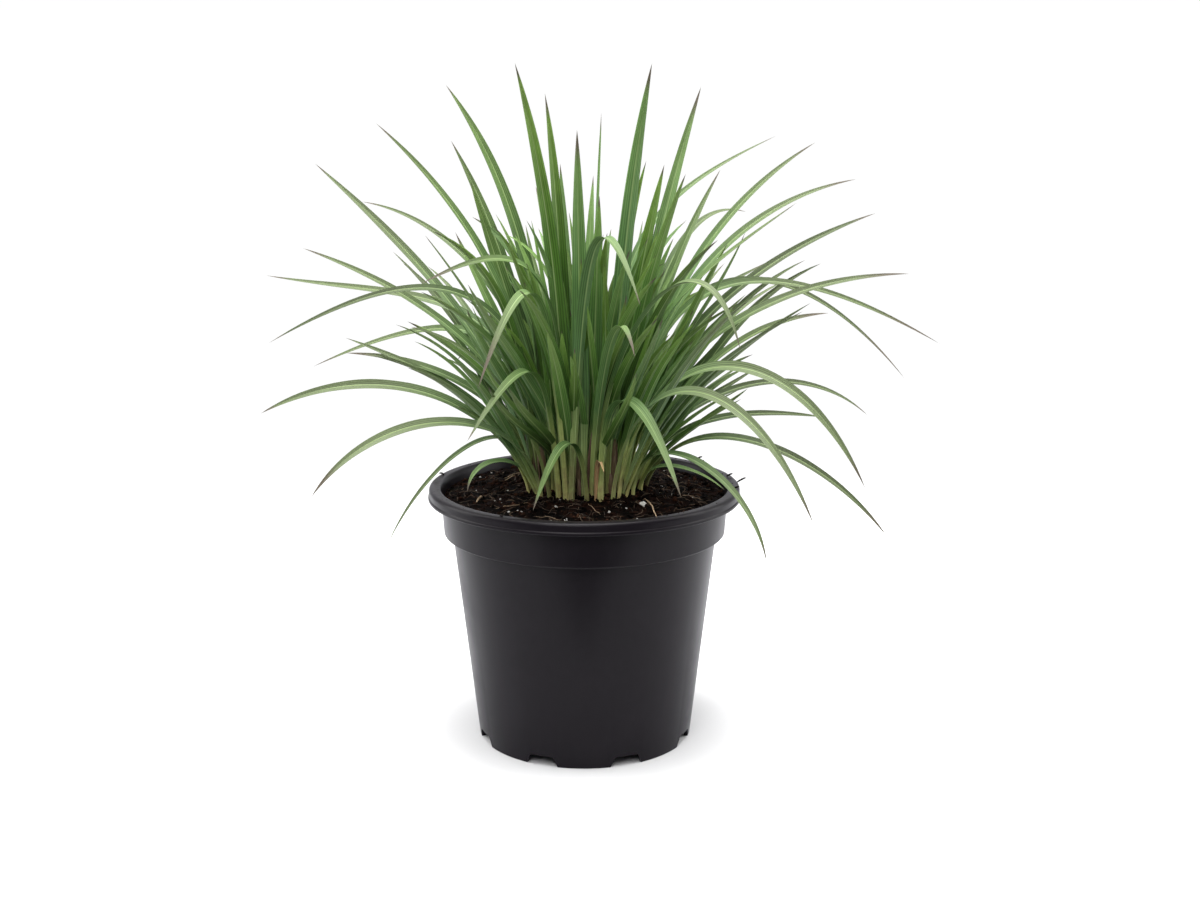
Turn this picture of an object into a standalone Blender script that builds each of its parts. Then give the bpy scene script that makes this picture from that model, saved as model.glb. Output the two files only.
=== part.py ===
"""A clump of ornamental grass in a round nursery pot.

The pot stands on Z = 0 with its axis on the Z axis. Every size below is in millimetres and
every angle in degrees; azimuth 0 points along +X, 90 along +Y, and the front is at 270.
"""

import math

import bmesh
import bpy
from mathutils import Vector

MM = 0.001
GAP = 0.3

# Pot
POT_HEIGHT = 160.0
RIM_RADIUS = 96.5
RIM_ROLL_HEIGHT = 7.6
COLLAR_TOP_RADIUS = 88.4
COLLAR_FOOT_RADIUS = 87.0
STEP_HEIGHT = 131.0
BODY_TOP_RADIUS = 81.8
FOOT_RADIUS = 66.8
WALL = 1.8
FLOOR_UNDERSIDE = 6.8
FLOOR_THICKNESS = 1.8
POT_SIDES = 32
NOTCHES = 8
NOTCH_HEIGHT = 6.4
NOTCH_TOP_WIDTH = 14.0
NOTCH_FOOT_WIDTH = 21.0
DRAIN_HOLE_RADIUS = 4.5
DRAIN_RING_RADIUS = 52.0

# Soil
CROWN_SOIL = 158.0
WALL_SOIL = 153.5
CROWN_RADIUS = 42.0

# Tuft of close-packed young leaves in the middle of the clump: (height, radius across the front)
TUFT_OUTLINE = ((0, 15), (52, 20), (112, 27), (157, 30), (197, 25), (224, 15), (238, 5))
TUFT_SIDES = 20
TUFT_DEPTH_SHARE = 0.9

# Leaves
RINGS = (22.0, 29.5, 36.5)
STATIONS = 13
SHEATH_WIDTH_SHARE = 0.45
SHEATH_THICKNESS = 1.6
BLADE_THICKNESS = 0.8
SHEATH_SHARE = 0.2
FOLD_DEPTH_SHARE = 0.2
TIP_TAPER = 4.0
TIP_FADE = 0.9
ROOT_TWIST_SHARE = 0.5

# Each leaf, in this order:
#   ring its root stands on (1 inner, 2 middle, 3 outer), azimuth of the root,
#   azimuth of the tip, reach of the tip from the pot's axis, height of the tip above the soil,
#   lean from upright at the root, lean from upright at the tip (90 is level, 180 hangs down),
#   how full the arch is (1 for a plain bow), blade width, and twist of the blade.
LEAVES = {
    "upright_leaf": (
        (1, 242, 239, 72, 254, 1, 26, 1.0, 9.5, -25),
        (2, 299, 310, 60, 254, 3, 14, 1.0, 10.5, 45),
        (1, 35, 35, 88, 242, 10, 22, 1.0, 9.5, -50),
        (2, 268, 267, 60, 218, 2, 9, 1.0, 10.0, 5),
        (1, 165, 159, 90, 243, 0, 40, 1.0, 9.0, 55),
        (2, 142, 144, 104, 209, 6, 36, 1.0, 8.0, 50),
        (1, 200, 194, 122, 221, 6, 48, 1.1, 8.5, 50),
        (1, 332, 313, 84, 194, 5, 32, 1.0, 8.5, 30),
        (2, 52, 45, 124, 190, 15, 40, 1.0, 6.5, -45),
    ),
    "left_leaf": (
        (2, 174, 170, 167, 196, 9, 50, 1.0, 7.5, 55),
        (2, 132, 148, 172, 169, 0, 85, 1.0, 5.0, 50),
        (2, 122, 125, 134, 183, 15, 30, 1.0, 7.0, 30),
        (2, 222, 214, 107, 160, 8, 40, 1.0, 6.0, 35),
        (2, 249, 229, 133, 137, 0, 110, 1.5, 7.0, 50),
        (2, 190, 187, 166, 149, 0, 70, 1.0, 6.5, 55),
        (2, 150, 155, 234, 120, 8, 85, 1.5, 6.5, 55),
        (2, 213, 195, 188, 97, 0, 120, 1.5, 6.0, 55),
        (2, 158, 159, 190, 64, 0, 115, 1.5, 6.0, 55),
        (3, 237, 225, 133, 113, 12, 75, 1.0, 6.5, 35),
        (2, 182, 176, 147, 82, 5, 90, 1.0, 6.5, 50),
        (3, 208, 198, 195, 58, 16, 118, 1.0, 8.0, 55),
        (3, 227, 224, 200, 28, 10, 138, 0.85, 7.0, 55),
        (3, 149, 171, 127, -42, 12, 155, 1.15, 5.0, 40),
        (3, 218, 210, 80, 6, 3, 175, 1.0, 6.0, 20),
    ),
    "right_leaf": (
        (2, 65, 36, 152, 211, 5, 70, 1.5, 5.0, -45),
        (2, 8, 8, 141, 209, 0, 60, 1.0, 7.0, -50),
        (2, 326, 353, 160, 189, 0, 80, 1.0, 7.0, -50),
        (2, 312, 333, 134, 178, 10, 55, 1.5, 7.5, -35),
        (2, 25, 13, 186, 165, 4, 73, 1.0, 7.0, -50),
        (2, 334, 354, 193, 134, 2, 90, 1.0, 7.0, -50),
        (2, 354, 357, 214, 91, 0, 120, 1.5, 6.0, -50),
        (2, 17, 11, 207, 61, 0, 140, 1.5, 5.5, -50),
        (3, 311, 334, 154, 117, 20, 85, 1.0, 7.5, -45),
        (3, 73, 46, 154, 161, 25, 105, 1.0, 6.5, -30),
        (2, 41, 33, 147, 133, 3, 70, 1.5, 5.5, -45),
        (3, 50, 28, 128, 66, 30, 60, 1.0, 5.0, -40),
        (3, 40, 21, 199, 31, 30, 132, 1.0, 5.5, -50),
        (3, 16, 11, 154, 38, 15, 100, 1.0, 5.5, -50),
        (3, 303, 322, 195, 28, 8, 152, 1.25, 8.0, -55),
        (3, 356, 348, 186, -22, 22, 143, 1.0, 6.0, -50),
        (3, 297, 307, 201, 18, 10, 148, 1.2, 7.0, -55),
        (3, 322, 328, 126, -30, 5, 170, 1.0, 6.0, -30),
        (3, 340, 353, 87, 0, 0, 135, 1.0, 5.0, -20),
    ),
    "front_leaf": (
        (3, 258, 286, 114, 126, 6, 145, 1.5, 8.5, 0),
        (2, 287, 305, 147, 104, -5, 160, 1.0, 7.0, -20),
        (3, 253, 245, 132, 83, 8, 145, 1.9, 8.0, 20),
        (3, 246, 240, 126, 52, 8, 130, 1.9, 8.0, 15),
        (2, 279, 286, 104, 97, 6, 145, 1.0, 7.0, 0),
        (3, 286, 300, 110, 17, 0, 150, 2.0, 10.0, -10),
        (3, 273, 250, 84, 5, 8, 150, 2.0, 7.0, 10),
    ),
    "back_leaf": (
        (2, 78, 72, 150, 142, 5, 85, 1.0, 7.5, 15),
        (2, 90, 92, 164, 87, 8, 110, 1.0, 7.0, -15),
        (2, 101, 105, 130, 177, 8, 50, 1.0, 8.0, 20),
        (3, 110, 120, 185, 52, 12, 130, 1.0, 6.5, 20),
        (3, 98, 97, 130, 12, 10, 150, 1.2, 7.0, -10),
        (3, 84, 60, 178, 22, 12, 140, 1.0, 6.5, -25),
    ),
    "dry_leaf": ((3, 281, 281, 63, 23, 8, 120, 1.5, 3.5, 20),),
}


def polar(azimuth, radius, height):
    """The point at that azimuth, radius from the pot's axis and height, in millimetres."""
    turn = math.radians(azimuth)
    return Vector((radius * math.cos(turn), radius * math.sin(turn), height))


def material(name, color, roughness, metallic=0.0):
    made = bpy.data.materials.new(name)
    made.use_nodes = True
    shader = made.node_tree.nodes["Principled BSDF"]
    shader.inputs["Base Color"].default_value = (*color, 1.0)
    shader.inputs["Roughness"].default_value = roughness
    shader.inputs["Metallic"].default_value = metallic
    return made


def add_object(name, mesh_builder, finish, smooth_angle=None):
    """A mesh object from a bmesh in millimetres, stored in metres."""
    bmesh.ops.scale(mesh_builder, vec=(MM, MM, MM), verts=mesh_builder.verts)
    bmesh.ops.recalc_face_normals(mesh_builder, faces=mesh_builder.faces)
    mesh = bpy.data.meshes.new(name)
    mesh_builder.to_mesh(mesh)
    mesh_builder.free()
    if smooth_angle is not None:
        mesh.shade_smooth()
        mesh.set_sharp_from_angle(angle=math.radians(smooth_angle))
    if finish is not None:
        mesh.materials.append(finish)
    made = bpy.data.objects.new(name, mesh)
    bpy.context.scene.collection.objects.link(made)
    return made


def bridge_rings(mesh_builder, rings):
    """Quads between each ring of vertices and the next."""
    for lower, upper in zip(rings, rings[1:]):
        count = len(lower)
        for i in range(count):
            j = (i + 1) % count
            mesh_builder.faces.new((lower[i], lower[j], upper[j], upper[i]))


def turned(profile, sides, depth_share=1.0):
    """A closed solid turned about Z from (radius, height) points that start and end on the axis."""
    mesh_builder = bmesh.new()
    rings = []
    for radius, height in profile[1:-1]:
        ring = []
        for i in range(sides):
            corner = polar(360 * i / sides, radius, height)
            ring.append(mesh_builder.verts.new((corner.x, corner.y * depth_share, corner.z)))
        rings.append(ring)
    bridge_rings(mesh_builder, rings)
    for (_, height), ring in ((profile[0], rings[0]), (profile[-1], rings[-1])):
        middle = mesh_builder.verts.new((0, 0, height))
        for i in range(sides):
            mesh_builder.faces.new((middle, ring[i], ring[(i + 1) % sides]))
    return mesh_builder


def wall_radius(height):
    """The outer radius of the pot's tapered body at a height below the step."""
    return FOOT_RADIUS + (BODY_TOP_RADIUS - FOOT_RADIUS) * height / STEP_HEIGHT


def pot_profile():
    """From the middle of the underside, up the outside, over the rolled rim and down the inside."""
    roll_foot = POT_HEIGHT - RIM_ROLL_HEIGHT
    collar_inside = COLLAR_FOOT_RADIUS - WALL
    floor = FLOOR_UNDERSIDE + FLOOR_THICKNESS
    return (
        (0, FLOOR_UNDERSIDE),
        (wall_radius(FLOOR_UNDERSIDE) - 2.4, FLOOR_UNDERSIDE),
        (FOOT_RADIUS - 2.6, 0),
        (FOOT_RADIUS, 0),
        (BODY_TOP_RADIUS, STEP_HEIGHT - 0.6),
        (COLLAR_FOOT_RADIUS - 0.7, STEP_HEIGHT),
        (COLLAR_FOOT_RADIUS, STEP_HEIGHT + 0.9),
        (COLLAR_TOP_RADIUS, roll_foot),
        (RIM_RADIUS - 0.9, roll_foot + 0.2),
        (RIM_RADIUS, roll_foot + 2.2),
        (RIM_RADIUS - 0.5, POT_HEIGHT - 2.4),
        (RIM_RADIUS - 2.4, POT_HEIGHT - 0.4),
        (RIM_RADIUS - 4.0, POT_HEIGHT),
        (RIM_RADIUS - 6.4, POT_HEIGHT - 0.3),
        (RIM_RADIUS - 8.2, POT_HEIGHT - 2.2),
        (COLLAR_TOP_RADIUS - WALL, roll_foot - 1.0),
        (collar_inside, STEP_HEIGHT + 1.2),
        (BODY_TOP_RADIUS - WALL, STEP_HEIGHT - 1.6),
        (wall_radius(floor) - WALL, floor),
        (0, floor),
    )


def drain_cutter():
    """One wedge through the foot at each notch, and one round hole in the floor behind it."""
    mesh_builder = bmesh.new()
    for i in range(NOTCHES):
        azimuth = 270 + (i + 0.5) * 360 / NOTCHES
        outward = polar(azimuth, 1, 0)
        across = Vector((-outward.y, outward.x, 0))
        ends = []
        for radius in (DRAIN_RING_RADIUS + 6, RIM_RADIUS):
            corners = (
                (-NOTCH_FOOT_WIDTH / 2, -1.0),
                (NOTCH_FOOT_WIDTH / 2, -1.0),
                (NOTCH_TOP_WIDTH / 2, NOTCH_HEIGHT),
                (-NOTCH_TOP_WIDTH / 2, NOTCH_HEIGHT),
            )
            ends.append(
                [
                    mesh_builder.verts.new(outward * radius + across * side + Vector((0, 0, height)))
                    for side, height in corners
                ]
            )
        bridge_rings(mesh_builder, ends)
        mesh_builder.faces.new(ends[0])
        mesh_builder.faces.new(ends[1])
        hole = bmesh.ops.create_cone(
            mesh_builder,
            cap_ends=True,
            segments=8,
            radius1=DRAIN_HOLE_RADIUS,
            radius2=DRAIN_HOLE_RADIUS,
            depth=8.0,
        )
        lift = outward * DRAIN_RING_RADIUS + Vector((0, 0, FLOOR_UNDERSIDE + FLOOR_THICKNESS / 2))
        bmesh.ops.translate(mesh_builder, vec=lift, verts=hole["verts"])
    cutter = add_object("drain_cutter", mesh_builder, None)
    cutter.hide_render = True
    cutter.display_type = "WIRE"
    return cutter


def build_pot():
    finish = material("black_plastic", (0.020, 0.020, 0.023), 0.42)
    pot = add_object("pot", turned(pot_profile(), POT_SIDES), finish, smooth_angle=35)
    cut = pot.modifiers.new("drain_openings", "BOOLEAN")
    cut.operation = "DIFFERENCE"
    cut.solver = "EXACT"
    cut.object = drain_cutter()


def soil_height(radius):
    """The soil lies level under the crown and falls away a little towards the wall."""
    share = max(0.0, (radius - CROWN_RADIUS) / (COLLAR_FOOT_RADIUS - CROWN_RADIUS))
    return CROWN_SOIL - (CROWN_SOIL - WALL_SOIL) * share


def build_soil():
    floor = FLOOR_UNDERSIDE + FLOOR_THICKNESS
    clear = WALL + GAP
    edge = COLLAR_FOOT_RADIUS - clear
    profile = (
        (0, floor + GAP),
        (wall_radius(floor) - clear - 0.2, floor + GAP),
        (BODY_TOP_RADIUS - clear - 0.2, STEP_HEIGHT - 1.8),
        (edge - 0.3, STEP_HEIGHT + 1.4),
        (edge, soil_height(edge)),
        (CROWN_RADIUS, CROWN_SOIL),
        (0, CROWN_SOIL),
    )
    finish = material("potting_soil", (0.022, 0.014, 0.010), 0.95)
    add_object("soil", turned(profile, POT_SIDES), finish, smooth_angle=50)


def build_tuft():
    foot = CROWN_SOIL + GAP
    profile = [(0, foot)]
    profile += [(radius, foot + height) for height, radius in TUFT_OUTLINE]
    profile.append((0, foot + TUFT_OUTLINE[-1][0] + 4))
    finish = material("young_leaves", (0.075, 0.150, 0.055), 0.6)
    add_object("young_leaf_tuft", turned(profile, TUFT_SIDES, TUFT_DEPTH_SHARE), finish, smooth_angle=60)


def leaf_spine(ring, root_azimuth, tip_azimuth, reach, height, root_lean, tip_lean, fullness):
    """The four control points of a leaf's spine, and the level direction across its plane."""
    root = polar(root_azimuth, RINGS[ring - 1], CROWN_SOIL + GAP)
    tip = polar(tip_azimuth, reach, CROWN_SOIL + height)
    chord = tip - root
    outward = Vector((chord.x, chord.y, 0)).normalized()
    up = Vector((0, 0, 1))
    start, end = math.radians(root_lean), math.radians(tip_lean)
    handle = fullness * chord.length / (3 * math.cos((end - start) / 4) ** 2)
    first = root + (outward * math.sin(start) + up * math.cos(start)) * handle
    second = tip - (outward * math.sin(end) + up * math.cos(end)) * handle
    return (root, first, second, tip), outward.cross(up)


def along_spine(points, share):
    """The point and the direction of a cubic Bezier spine at a share of its length."""
    root, first, second, tip = points
    rest = 1 - share
    place = root * rest**3 + first * 3 * rest**2 * share + second * 3 * rest * share**2 + tip * share**3
    heading = (first - root) * rest**2 + (second - first) * 2 * rest * share + (tip - second) * share**2
    return place, heading.normalized()


def blade_width(width, share):
    """Narrow at the sheath, full at a third of the length, and drawn out to a point."""
    opening = min(1.0, share / 0.3)
    swell = SHEATH_WIDTH_SHARE + (1 - SHEATH_WIDTH_SHARE) * opening * opening * (3 - 2 * opening)
    return width * swell * (1 - share**TIP_TAPER) ** TIP_FADE


def blade_thickness(share):
    """Thick at the sheath and thin from a fifth of the length on."""
    sheath = max(0.0, 1 - share / SHEATH_SHARE)
    return BLADE_THICKNESS + (SHEATH_THICKNESS - BLADE_THICKNESS) * sheath


def build_leaf(name, finish, row):
    """A folded blade: each cross-section is a flat V with its fold on the underside."""
    *spine, width, twist = row
    points, across = leaf_spine(*spine)
    mesh_builder = bmesh.new()
    rings = []
    for station in range(STATIONS - 1):
        share = station / (STATIONS - 1)
        place, heading = along_spine(points, share)
        above = across.cross(heading)
        if station == 0:
            above = Vector((above.x, above.y, 0)).normalized()
        turn = math.radians(twist * (ROOT_TWIST_SHARE + (1 - ROOT_TWIST_SHARE) * share))
        side = across * math.cos(turn) + above * math.sin(turn)
        face = above * math.cos(turn) - across * math.sin(turn)
        half = blade_width(width, share) / 2
        fold = 2 * half * FOLD_DEPTH_SHARE
        thick = blade_thickness(share)
        corners = (
            place - side * half,
            place - face * (fold + thick / 2),
            place + side * half,
            place - face * (fold - thick / 2),
        )
        rings.append([mesh_builder.verts.new(corner) for corner in corners])
    bridge_rings(mesh_builder, rings)
    mesh_builder.faces.new((rings[0][0], rings[0][1], rings[0][3]))
    mesh_builder.faces.new((rings[0][1], rings[0][2], rings[0][3]))
    tip = mesh_builder.verts.new(points[-1])
    for i in range(4):
        mesh_builder.faces.new((rings[-1][i], rings[-1][(i + 1) % 4], tip))
    add_object(name, mesh_builder, finish, smooth_angle=40)


def build_leaves():
    green = material("green_leaf", (0.085, 0.175, 0.060), 0.55)
    straw = material("dry_leaf_straw", (0.330, 0.190, 0.090), 0.8)
    for group, rows in LEAVES.items():
        for number, row in enumerate(rows, start=1):
            name = group if len(rows) == 1 else f"{group}_{number:02d}"
            build_leaf(name, straw if group == "dry_leaf" else green, row)


def main():
    for old in list(bpy.data.objects):
        bpy.data.objects.remove(old)
    build_pot()
    build_soil()
    build_tuft()
    build_leaves()


main()
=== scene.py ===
"""The finish of a clump of ornamental grass in a round nursery pot.

Lengths are in millimetres and angles in degrees until a shape becomes a piece, which is in metres.
Azimuth 0 points along +X, 90 along +Y, and the front is at 270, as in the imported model.
"""

import math
import random

import bmesh
import bpy
from mathutils import Matrix, Vector, noise


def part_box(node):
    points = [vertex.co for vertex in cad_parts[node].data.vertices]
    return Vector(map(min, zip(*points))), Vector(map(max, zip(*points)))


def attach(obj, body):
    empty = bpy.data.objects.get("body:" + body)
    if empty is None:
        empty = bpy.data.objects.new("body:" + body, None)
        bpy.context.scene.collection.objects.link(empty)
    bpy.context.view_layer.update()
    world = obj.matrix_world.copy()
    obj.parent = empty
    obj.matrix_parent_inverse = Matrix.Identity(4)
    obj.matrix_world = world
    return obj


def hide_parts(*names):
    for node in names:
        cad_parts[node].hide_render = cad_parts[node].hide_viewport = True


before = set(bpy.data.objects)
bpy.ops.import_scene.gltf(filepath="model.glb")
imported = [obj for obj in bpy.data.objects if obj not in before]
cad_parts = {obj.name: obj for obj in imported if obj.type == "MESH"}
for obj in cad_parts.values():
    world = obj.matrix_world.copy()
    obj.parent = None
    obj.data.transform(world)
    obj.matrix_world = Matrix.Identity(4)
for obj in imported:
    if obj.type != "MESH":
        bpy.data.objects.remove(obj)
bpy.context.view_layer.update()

MM = 0.001
GAP = 0.3
UNROLLED = "OFBake"

# Pot
POT_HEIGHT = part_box("pot")[1].z / MM
RIM_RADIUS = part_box("pot")[1].x / MM
RIM_ROLL_HEIGHT = 7.6
COLLAR_TOP_RADIUS = 88.4
COLLAR_FOOT_RADIUS = 87.0
STEP_HEIGHT = 131.0
BODY_TOP_RADIUS = 81.8
FOOT_RADIUS = 66.8
WALL = 1.8
FLOOR_UNDERSIDE = 6.8
FLOOR_THICKNESS = 1.8
POT_SIDES = 256
POT_SHARP = 40
NOTCHES = 8
NOTCH_HEIGHT = 6.4
NOTCH_TOP_WIDTH = 14.0
NOTCH_FOOT_WIDTH = 21.0
DRAIN_HOLE_RADIUS = 4.5
DRAIN_RING_RADIUS = 52.0

# Soil
CROWN_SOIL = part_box("soil")[1].z / MM
WALL_SOIL = 153.5
CROWN_RADIUS = 42.0
SOIL_SIDES = 270
SOIL_STEP = 0.9

# Leaves
RINGS = (22.0, 29.5, 36.5)
SHEATH_WIDTH_SHARE = 0.5
ROOT_DEPTH = 3.0
WIDENING_HEIGHT = 75.0
SHEATH_THICKNESS = 1.8
BLADE_THICKNESS = 0.36
SHEATH_SHARE = 0.2
FOLD_DEPTH_SHARE = 0.2
FOLD_SOFTNESS = 1.25
KEEL = 0.3
KEEL_WIDTH = 0.16
RIPPLE = 0.35
TIP_TAPER = 4.0
TIP_FADE = 0.9
ROOT_TWIST_SHARE = 0.5

# Each leaf, in this order:
#   ring its root stands on (1 inner, 2 middle, 3 outer), azimuth of the root,
#   azimuth of the tip, reach of the tip from the pot's axis, height of the tip above the soil,
#   lean from upright at the root, lean from upright at the tip (90 is level, 180 hangs down),
#   how full the arch is (1 for a plain bow), blade width, and twist of the blade.
LEAVES = {
    "upright_leaf": (
        (1, 242, 239, 72, 254, 1, 26, 1.0, 9.5, -25),
        (2, 299, 310, 60, 254, 3, 14, 1.0, 10.5, 45),
        (1, 35, 35, 88, 242, 10, 22, 1.0, 9.5, -50),
        (2, 268, 267, 60, 218, 2, 9, 1.0, 10.0, 5),
        (1, 165, 159, 90, 243, 0, 40, 1.0, 9.0, 55),
        (2, 142, 144, 104, 209, 6, 36, 1.0, 8.0, 50),
        (1, 200, 194, 122, 221, 6, 48, 1.1, 8.5, 50),
        (1, 332, 313, 84, 194, 5, 32, 1.0, 8.5, 30),
        (2, 52, 45, 124, 190, 15, 40, 1.0, 6.5, -45),
    ),
    "left_leaf": (
        (2, 174, 170, 167, 196, 9, 50, 1.0, 7.5, 55),
        (2, 132, 148, 172, 169, 0, 85, 1.0, 5.0, 50),
        (2, 122, 125, 134, 183, 15, 30, 1.0, 7.0, 30),
        (2, 222, 214, 107, 160, 8, 40, 1.0, 6.0, 35),
        (2, 249, 229, 133, 137, 0, 110, 1.5, 7.0, 50),
        (2, 190, 187, 166, 149, 0, 70, 1.0, 6.5, 55),
        (2, 150, 155, 234, 120, 8, 85, 1.5, 6.5, 55),
        (2, 213, 195, 188, 97, 0, 120, 1.5, 6.0, 55),
        (2, 158, 159, 190, 64, 0, 115, 1.5, 6.0, 55),
        (3, 237, 225, 133, 113, 12, 75, 1.0, 6.5, 35),
        (2, 182, 176, 147, 82, 5, 90, 1.0, 6.5, 50),
        (3, 208, 198, 195, 58, 16, 118, 1.0, 8.0, 55),
        (3, 227, 224, 200, 28, 10, 138, 0.85, 7.0, 55),
        (3, 149, 171, 127, -42, 12, 155, 1.15, 5.0, 40),
        (3, 218, 210, 80, 6, 3, 175, 1.0, 6.0, 20),
    ),
    "right_leaf": (
        (2, 65, 36, 152, 211, 5, 70, 1.5, 5.0, -45),
        (2, 8, 8, 141, 209, 0, 60, 1.0, 7.0, -50),
        (2, 326, 353, 160, 189, 0, 80, 1.0, 7.0, -50),
        (2, 312, 333, 134, 178, 10, 55, 1.5, 7.5, -35),
        (2, 25, 13, 186, 165, 4, 73, 1.0, 7.0, -50),
        (2, 334, 354, 193, 134, 2, 90, 1.0, 7.0, -50),
        (2, 354, 357, 214, 91, 0, 120, 1.5, 6.0, -50),
        (2, 17, 11, 207, 61, 0, 140, 1.5, 5.5, -50),
        (3, 311, 334, 154, 117, 20, 85, 1.0, 7.5, -45),
        (3, 73, 46, 154, 161, 25, 105, 1.0, 6.5, -30),
        (2, 41, 33, 147, 133, 3, 70, 1.5, 5.5, -45),
        (3, 50, 28, 128, 66, 30, 60, 1.0, 5.0, -40),
        (3, 40, 21, 199, 31, 30, 132, 1.0, 5.5, -50),
        (3, 16, 11, 154, 38, 15, 100, 1.0, 5.5, -50),
        (3, 303, 322, 195, 28, 8, 152, 1.25, 8.0, -55),
        (3, 356, 348, 186, -22, 22, 143, 1.0, 6.0, -50),
        (3, 297, 307, 201, 18, 10, 148, 1.2, 7.0, -55),
        (3, 322, 328, 126, -30, 5, 170, 1.0, 6.0, -30),
        (3, 340, 353, 87, 0, 0, 135, 1.0, 5.0, -20),
    ),
    "front_leaf": (
        (3, 258, 286, 114, 126, 6, 145, 1.5, 8.5, 0),
        (2, 287, 305, 147, 104, -5, 160, 1.0, 7.0, -20),
        (3, 253, 245, 132, 83, 8, 145, 1.9, 8.0, 20),
        (3, 246, 240, 126, 52, 8, 130, 1.9, 8.0, 15),
        (2, 279, 286, 104, 97, 6, 145, 1.0, 7.0, 0),
        (3, 286, 300, 110, 17, 0, 150, 2.0, 10.0, -10),
        (3, 273, 250, 84, 5, 8, 150, 2.0, 7.0, 10),
    ),
    "back_leaf": (
        (2, 78, 72, 150, 142, 5, 85, 1.0, 7.5, 15),
        (2, 90, 92, 164, 87, 8, 110, 1.0, 7.0, -15),
        (2, 101, 105, 130, 177, 8, 50, 1.0, 8.0, 20),
        (3, 110, 120, 185, 52, 12, 130, 1.0, 6.5, 20),
        (3, 98, 97, 130, 12, 10, 150, 1.2, 7.0, -10),
        (3, 84, 60, 178, 22, 12, 140, 1.0, 6.5, -25),
    ),
    "dry_leaf": ((3, 281, 281, 63, 23, 8, 120, 1.5, 3.5, 20),),
}

# Small things past the number of named parts
SHOOT_TURN = 137.5
CORE_LEAVES = 60
FILLER_LEAVES = 78
FLANK_LEAVES = 44
FLANK_START = -48.0
FLANK_SPREAD = 276.0
SHORT_LEAVES = 26
SHEATHS = 96
SOIL_EDGE = 86.4

# Crumbs: (name, count, smallest, largest, fineness of the ball, nearest to the axis, farthest, heap)
SOIL_CRUMBS = (
    ("soil_crumbs_fine", 2400, 0.3, 0.85, 1, 18, SOIL_EDGE, 0.0),
    ("soil_crumbs_coarse", 600, 0.7, 1.9, 2, 18, SOIL_EDGE, 0.0),
    ("soil_crumbs_crown", 620, 0.5, 1.5, 2, 30, 39, 1.8),
)

# The low ring of soil that is heaped against the outer shoots
HEAP_RADIUS = 35.0
HEAP_WIDTH = 7.0
HEAP_HEIGHT = 1.5

BARK_SLIVERS = 150
LOOSE_PERLITE = 70
FIBRES = 420
RIM_SPECKS = 30

# The tallest young leaves, in the order of LEAVES but with the root's radius in place of its ring
TALL_YOUNG_LEAVES = (
    (9, 200, 190, 23, 238, 2, 8, 1.0, 9.5, -70),
    (6, 60, 30, 12, 227, 0, 3, 1.0, 7.5, 20),
    (12, 330, 322, 46, 200, 4, 20, 1.0, 7.5, 50),
    (14, 350, 352, 48, 197, 6, 14, 1.0, 10.0, 75),
    (17, 168, 175, 68, 186, 10, 18, 1.0, 9.0, 80),
    (12, 120, 112, 40, 196, 3, 12, 1.0, 8.0, 20),
    (14, 95, 84, 52, 188, 5, 20, 1.0, 7.5, -10),
    (13, 255, 262, 24, 172, 2, 6, 1.0, 9.5, 0),
    (15, 285, 288, 30, 180, 2, 6, 1.0, 10.0, 15),
)

# How much of a leaf is dry at its tip, as shares of its length; most are green to the end
DRY_TIPS = (0.04, 0.05, 0.06, 0.08, 0.1, 0.14)

# Perlite grains that catch the eye: (azimuth, radius from the axis, size)
PLACED_PERLITE = (
    (309, 55, 1.9),
    (251, 50, 1.0),
    (262, 73, 1.0),
    (285, 58, 0.7),
    (298, 53, 0.8),
    (232, 63, 0.8),
    (150, 73, 0.8),
    (148, 80, 0.7),
    (139, 81, 0.7),
    (206, 60, 0.6),
    (228, 66, 0.8),
)

# Dry stems on the soil: (azimuth, radius, heading, length, thickness, how pale)
PLACED_STEMS = (
    (204, 71, 75, 12, 1.1, 0.9),
    (155, 56, 60, 24, 0.6, 0.95),
    (150, 60, 40, 20, 0.5, 0.8),
    (322, 45, 293, 37, 0.8, 1.0),
    (271, 40, 290, 22, 0.35, 0.7),
    (228, 50, 200, 20, 0.4, 0.7),
    (340, 60, 20, 16, 0.4, 0.5),
    (245, 66, 330, 18, 0.35, 0.6),
    (20, 62, 110, 22, 0.7, 0.8),
    (80, 58, 170, 24, 0.7, 0.7),
    (110, 66, 30, 20, 0.6, 0.9),
)

# Curled root threads on the rim: (azimuth, radius, length, rise)
RIM_THREADS = (
    (40, 92.0, 7.0, 3.2),
    (36, 92.0, 4.0, 1.8),
    (12, 91.5, 4.0, 1.6),
    (2, 95.0, 6.0, 2.6),
    (352, 92.5, 3.5, 1.2),
    (166, 92.0, 3.5, 1.0),
    (240, 91.5, 2.5, 0.6),
)
THREAD_STEPS = 8
THREAD_THICKNESS = 1.25

# Lights: (name, place, target, width and height in metres, watts)
LIGHTS = (
    ("top_light", (-20, -150, 1500), (0, 0, 200), 1.0, 0.9, 24.0),
    ("front_light", (-250, -1150, 1000), (0, 0, 160), 0.8, 0.6, 8.5),
    ("left_strip", (-950, 150, 520), (0, 0, 140), 0.6, 0.9, 5.4),
    ("right_strip", (950, 120, 520), (0, 0, 140), 0.7, 0.9, 6.6),
    ("backdrop_light", (0, 500, 1900), (0, 2200, 500), 2.6, 0.6, 35.0),
)
BEND_STEPS = 24

# Camera
CAMERA_PLACE = (9.6, -963.0, 394.0)
CAMERA_LENS = 48.0
CAMERA_SENSOR = 36.0
CAMERA_DOWN = 12.46


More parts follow.
